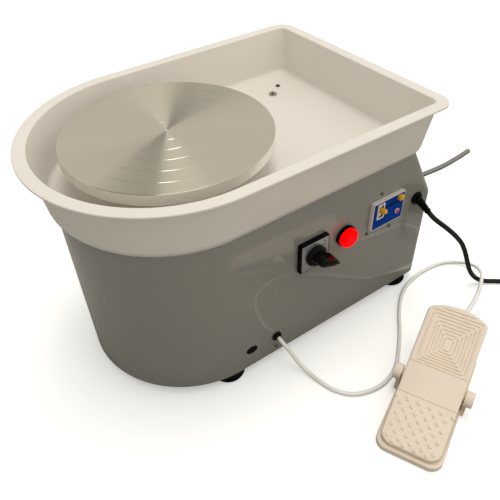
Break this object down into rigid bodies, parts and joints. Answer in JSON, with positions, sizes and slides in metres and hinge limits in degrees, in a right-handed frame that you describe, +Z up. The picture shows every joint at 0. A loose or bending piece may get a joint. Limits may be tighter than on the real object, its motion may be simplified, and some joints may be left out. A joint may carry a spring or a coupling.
{
  "type": "pottery wheel",
  "caption": "Table-top pottery wheel: a belt-driven turning head in a D-shaped splash pan on a steel cabinet, with front switches, a hand speed lever, a foot pedal and a mains lead.",
  "frame": {"origin": "on the bench, under the middle of the machine's and pedal's footprint, the free leads and the plug left out", "axes": "+X towards the square end with the hand lever, -Y towards the controls and the pedal, +Z up along the wheel spindle"},
  "size_m": [0.7202, 0.552, 0.323],
  "materials": {
    "grey_painted_steel": "gloss",
    "dark_painted_steel": "satin",
    "white_plastic": "semi-gloss",
    "white_cord": "satin",
    "cream_plastic": "fine grain",
    "black_plastic": "satin",
    "black_cord": "satin",
    "yellow_plastic": "semi-gloss",
    "blue_plastic": "semi-gloss",
    "red_indicator": "gloss",
    "dark_red_plastic": "gloss",
    "red_lens": "gloss",
    "aluminium": "turned",
    "steel": "brushed",
    "rubber": "matte",
    "circuit_board": "satin"
  },
  "bodies": {
    "frame": {"housing_shell": "grey_painted_steel", "deck_plate": "dark_painted_steel", "base_plate": "dark_painted_steel", "bearing_housing": "dark_painted_steel", "motor_body": "dark_painted_steel", "pan_screw": "dark_painted_steel", "splash_pan": "white_plastic", "breaker_frame": "white_plastic", "toggle_surround": "white_plastic", "pedal_cord": "white_cord", "pedal_base": "cream_plastic", "pedal_cord_boot": "cream_plastic", "selector_bezel": "black_plastic", "selector_switch_body": "black_plastic", "lamp_collar": "black_plastic", "breaker_body": "black_plastic", "power_gland": "black_plastic", "lever_sensor": "black_plastic", "pedal_sensor": "black_plastic", "power_plug": "black_plastic", "power_cord": "black_cord", "power_cord_coil": "black_cord", "power_cord_tail": "black_cord", "breaker_face": "blue_plastic", "breaker_indicator": "red_indicator", "lamp_lens": "red_lens", "heat_sink": "aluminium", "selector_plate": "aluminium", "upper_bearing_outer_race": "steel", "lower_bearing_outer_race": "steel", "motor_bracket": "steel", "pan_washer_screw": "steel", "breaker_screw_upper": "steel", "breaker_screw_lower": "steel", "panel_screw": "steel", "lever_bracket": "steel", "pedal_axle": "steel", "foot_front_left": "rubber", "foot_front_right": "rubber", "foot_rear_left": "rubber", "foot_rear_right": "rubber", "foot_round_end": "rubber", "drive_belt": "rubber", "blank_grommet": "rubber", "pedal_cord_grommet": "rubber", "control_board": "circuit_board"},
    "wheel": {"wheel_head": "aluminium", "wheel_hub": "steel", "spindle": "steel", "driven_pulley": "aluminium", "upper_bearing_inner_race": "steel", "lower_bearing_inner_race": "steel"},
    "motor_rotor": {"motor_shaft": "steel", "motor_pulley": "aluminium"},
    "selector": {"selector_knob": "black_plastic", "selector_pointer": "dark_red_plastic"},
    "toggle": {"breaker_toggle": "yellow_plastic"},
    "button": {"test_button": "yellow_plastic"},
    "lever": {"speed_lever": "steel"},
    "treadle": {"treadle": "cream_plastic"}
  },
  "joints": [
    {"name": "wheel_spin", "type": "hinge", "parent": "frame", "child": "wheel", "pos_m": [-0.14315, 0.10883, 0.3], "axis": [0, 0, 1], "continuous": true},
    {"name": "motor_spin", "type": "hinge", "parent": "frame", "child": "motor_rotor", "pos_m": [0.03185, 0.14883, 0.14], "axis": [0, 0, 1], "continuous": true},
    {"name": "selector_turn", "type": "hinge", "parent": "frame", "child": "selector", "pos_m": [-0.03565, -0.03117, 0.17], "axis": [0, -1, 0], "range_deg": [0, 120]},
    {"name": "breaker_toggle_tilt", "type": "hinge", "parent": "frame", "child": "toggle", "pos_m": [0.07435, -0.02817, 0.1855], "axis": [1, 0, 0], "range_deg": [0, 26]},
    {"name": "test_button_press", "type": "slide", "parent": "frame", "child": "button", "axis": [0, 1, 0], "range_m": [0, 0.002], "stiffness_N_per_m": 150},
    {"name": "speed_lever_swing", "type": "hinge", "parent": "frame", "child": "lever", "pos_m": [0.15685, 0.00883, 0.164], "axis": [0, 0, 1], "range_deg": [0, 45]},
    {"name": "treadle_rock", "type": "hinge", "parent": "frame", "child": "treadle", "pos_m": [0.03093, -0.20165, 0.028], "axis": [-0.4289, 0.9033, 0], "range_deg": [0, 20]}
  ],
  "couplings": [
    {"joint": "motor_spin", "follows": "wheel_spin", "ratio": 3.5}
  ]
}
